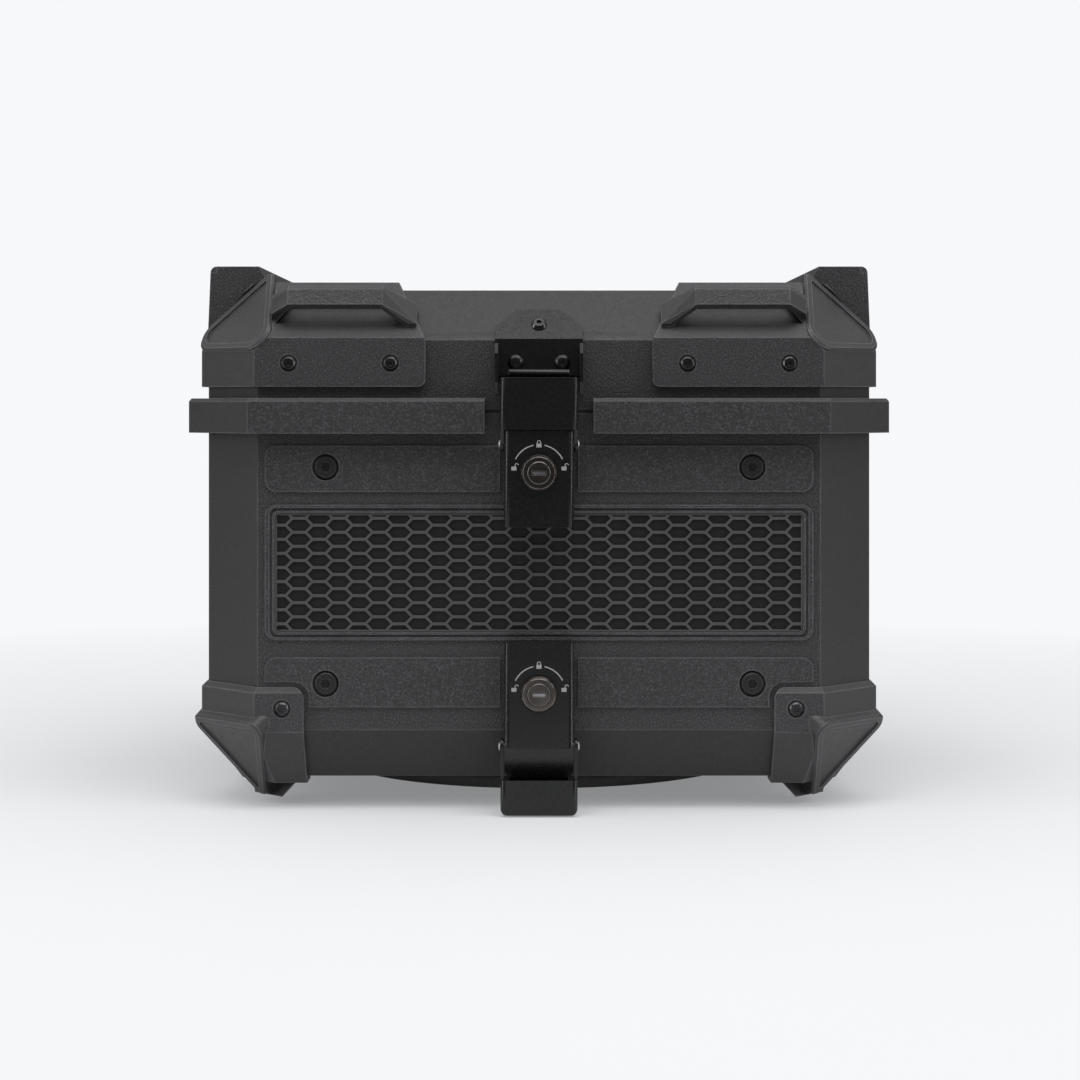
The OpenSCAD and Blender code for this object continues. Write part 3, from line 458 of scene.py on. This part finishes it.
def lock_marks(latch):
    """Two arcs over the lock with a closed padlock at the top and an open one at each end."""
    bm = bmesh.new()
    centre_z = lock_height(latch)
    face_y = front_of(latch + "_lever")
    for side in (-1, 1):
        points = arc(0, centre_z + 1.0, ARC_RADIUS, side * 12, side * 63)
        ink_strip(bm, points, ARC_LINE, face_y)
        padlock(bm, side * 14.8, centre_z + 3.4, True, face_y)
    padlock(bm, 0, centre_z + 17.0, False, face_y)
    bmesh.ops.recalc_face_normals(bm, faces=bm.faces)
    new_piece("marks_" + latch, bm, latch + "_lever", INK)


for latch in LATCHES:
    lock_marks(latch)

# ---------- steel shutter in each key slot ----------

# in millimetres: its size along x, y and z, and how far its front is behind the plug's face
SHUTTER_SIZE = (7.6, 2.4, 1.9)
SHUTTER_SUNK = 0.6
SHUTTER_BEVEL = 0.25


def key_shutter(latch):
    """A block with rounded edges that fills the key slot of a lock plug."""
    bm = bmesh.new()
    corners = bmesh.ops.create_cube(bm, size=1.0)["verts"]
    bmesh.ops.scale(bm, vec=Vector(SHUTTER_SIZE) * MM, verts=corners)
    middle_y = front_of(latch + "_lock_plug") + (SHUTTER_SUNK + SHUTTER_SIZE[1] / 2) * MM
    middle = (0, middle_y, lock_height(latch) * MM)
    bmesh.ops.translate(bm, vec=middle, verts=corners)
    bmesh.ops.bevel(bm, geom=bm.edges[:], offset=SHUTTER_BEVEL * MM, segments=2, affect="EDGES")
    bmesh.ops.recalc_face_normals(bm, faces=bm.faces)
    new_piece("shutter_" + latch, bm, latch + "_plug", PAINT["bright_steel"])


for latch in LATCHES:
    key_shutter(latch)

# ---------- floor and light ----------

# in metres from the middle: where the floor starts to thin out, where it is gone, where it ends
FADE_FROM = 0.3
FADE_TO = 1.1
FLOOR_HALF = 3
# just under the part, so the two don't share a plane
FLOOR_Z = -0.0004
# the floor's own light, as a light on the part and as the camera sees it
GLOW_CAST = 0.2
GLOW_SEEN = 0.26
WHITE = (0.93, 0.94, 0.957, 1)


def floor_material():
    """Pale matt floor that thins out with distance, so its edge hardly shows."""
    m = Nodes("floor")
    m.colour(m.mix(m.noise(3, 2), grey(0.6, -0.01), grey(0.62, -0.01)))
    m.fixed("Emission Color", WHITE)
    seen = m.add("ShaderNodeLightPath").outputs["Is Camera Ray"]
    m.put(m.shader.inputs["Emission Strength"], m.spread(seen, 0.0, 1.0, GLOW_CAST, GLOW_SEEN))
    m.rough(m.spread(m.noise(20, 2), 0.3, 0.7, 0.75, 0.85))
    m.fixed("Specular IOR Level", 0.1)
    distance = m.add("ShaderNodeVectorMath", operation="LENGTH")
    m.link(m.place, distance.inputs[0])
    thinning = m.spread(distance.outputs["Value"], FADE_FROM, FADE_TO, 1.0, 0.0)
    m.put(m.shader.inputs["Alpha"], thinning)
    return m.material


floor_mesh = bpy.data.meshes.new("floor")
floor_corners = [(x * FLOOR_HALF, y * FLOOR_HALF, 0) for x, y in ((-1, -1), (1, -1), (1, 1), (-1, 1))]
floor_mesh.from_pydata(floor_corners, [], [(0, 1, 2, 3)])
floor = bpy.data.objects.new("floor", floor_mesh)
floor.location.z = FLOOR_Z
scene.collection.objects.link(floor)
floor_mesh.materials.append(floor_material())


def studio_world():
    """White to the camera; as a light it is bright above, softer at the sides, dim elsewhere."""
    world = bpy.data.worlds.new("world")
    world.use_nodes = True
    tree = world.node_tree
    tree.nodes.clear()

    def add(kind, **settings):
        node = tree.nodes.new(kind)
        for key, value in settings.items():
            setattr(node, key, value)
        return node

    def ramp(value, low, high, to):
        node = add("ShaderNodeMapRange", interpolation_type="SMOOTHSTEP")
        limits = {"From Min": low, "From Max": high, "To Min": 0.0, "To Max": to}
        for key, number in limits.items():
            node.inputs[key].default_value = number
        tree.links.new(value, node.inputs["Value"])
        return node.outputs["Result"]

    def plus(a, b):
        node = add("ShaderNodeMath", operation="ADD")
        tree.links.new(a, node.inputs[0])
        if isinstance(b, float):
            node.inputs[1].default_value = b
        else:
            tree.links.new(b, node.inputs[1])
        return node.outputs[0]

    split = add("ShaderNodeSeparateXYZ")
    tree.links.new(add("ShaderNodeTexCoord").outputs["Generated"], split.inputs[0])
    side = add("ShaderNodeMath", operation="ABSOLUTE")
    tree.links.new(split.outputs["X"], side.inputs[0])
    above = ramp(split.outputs["Z"], 0.15, 0.95, 0.85)
    beside = ramp(side.outputs[0], 0.5, 0.98, 0.12)
    everywhere = 0.11
    light = add("ShaderNodeBackground")
    light.inputs["Color"].default_value = (0.98, 0.99, 1.0, 1)
    tree.links.new(plus(plus(above, beside), everywhere), light.inputs["Strength"])
    seen = add("ShaderNodeBackground")
    seen.inputs["Color"].default_value = WHITE
    choose = add("ShaderNodeMixShader")
    tree.links.new(add("ShaderNodeLightPath").outputs["Is Camera Ray"], choose.inputs[0])
    tree.links.new(light.outputs[0], choose.inputs[1])
    tree.links.new(seen.outputs[0], choose.inputs[2])
    tree.links.new(choose.outputs[0], add("ShaderNodeOutputWorld").inputs[0])
    return world


scene.world = studio_world()


def area_light(name, place, aim, size, power):
    """A rectangular lamp at a place in metres, aimed at a point, with its power in watts."""
    data = bpy.data.lights.new(name, "AREA")
    data.shape = "RECTANGLE"
    data.size, data.size_y = size
    data.energy = power
    light = bpy.data.objects.new(name, data)
    light.location = place
    light.rotation_euler = (Vector(aim) - Vector(place)).to_track_quat("-Z", "Y").to_euler()
    scene.collection.objects.link(light)


FRONT_MIDDLE = (0, -0.15, 0.15)
SIDE_LAMP = (0.25, 1.2)
area_light("top_front", (0.1, -0.75, 1.5), (0, -0.1, 0.15), (1.6, 0.5), 10)
area_light("left", (-1.3, -0.55, 0.35), FRONT_MIDDLE, SIDE_LAMP, 4.5)
area_light("right", (1.3, -0.55, 0.35), FRONT_MIDDLE, SIDE_LAMP, 4)
